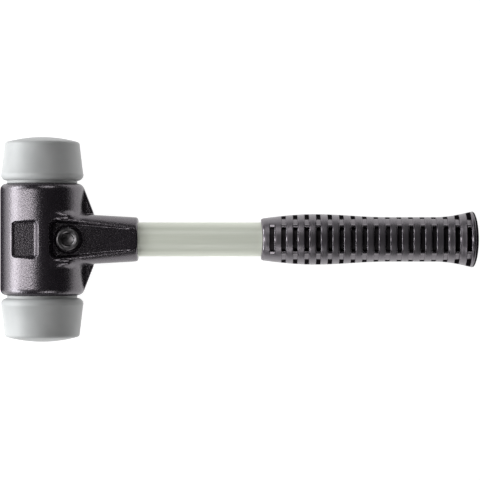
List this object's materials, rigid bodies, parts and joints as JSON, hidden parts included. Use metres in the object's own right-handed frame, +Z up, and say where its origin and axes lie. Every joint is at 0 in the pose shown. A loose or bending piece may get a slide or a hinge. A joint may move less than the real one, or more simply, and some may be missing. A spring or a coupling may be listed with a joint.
{
  "type": "soft face hammer",
  "caption": "Soft face hammer with a split cast head that clamps grey striking inserts and a fibreglass handle with a ribbed rubber grip by one socket-head screw.",
  "frame": {"origin": "on the bench under the middle of the hammer's outline, with the hammer lying on its rear housing half", "axes": "+X along the handle towards the grip, +Y along the head's axis out of the upper insert, +Z up, out of the front housing half"},
  "size_m": [0.3483, 0.1492, 0.061],
  "materials": {
    "black_casting": "satin",
    "grey_elastomer": "satin",
    "black_oxide_steel": "satin",
    "zinc_steel": "satin",
    "pale_fibreglass": "satin",
    "grip_rubber": "matte"
  },
  "bodies": {
    "rear_half": {"rear_housing_half": "black_casting", "clamp_nut": "zinc_steel", "handle_shaft": "pale_fibreglass", "handle_grip": "grip_rubber"},
    "front_half": {"front_housing_half": "black_casting", "lock_washer": "zinc_steel"},
    "clamp_screw": {"clamp_screw": "black_oxide_steel"},
    "upper_insert": {"upper_insert": "grey_elastomer"},
    "lower_insert": {"lower_insert": "grey_elastomer"}
  },
  "joints": [
    {"name": "housing_open", "type": "slide", "parent": "rear_half", "child": "front_half", "axis": [0, 0, 1], "range_m": [0, 0.0075]},
    {"name": "screw_turn", "type": "hinge", "parent": "front_half", "child": "clamp_screw", "pos_m": [-0.12345, 0, 0.0305], "axis": [0, 0, 1], "range_deg": [0, 1800]},
    {"name": "upper_insert_turn", "type": "hinge", "parent": "rear_half", "child": "upper_insert", "pos_m": [-0.14365, 0, 0.0305], "axis": [0, 1, 0], "continuous": true},
    {"name": "lower_insert_turn", "type": "hinge", "parent": "rear_half", "child": "lower_insert", "pos_m": [-0.14365, 0, 0.0305], "axis": [0, 1, 0], "continuous": true}
  ],
  "couplings": [
    {"joint": "screw_turn", "follows": "housing_open", "rad_per_m": 4188.8}
  ]
}
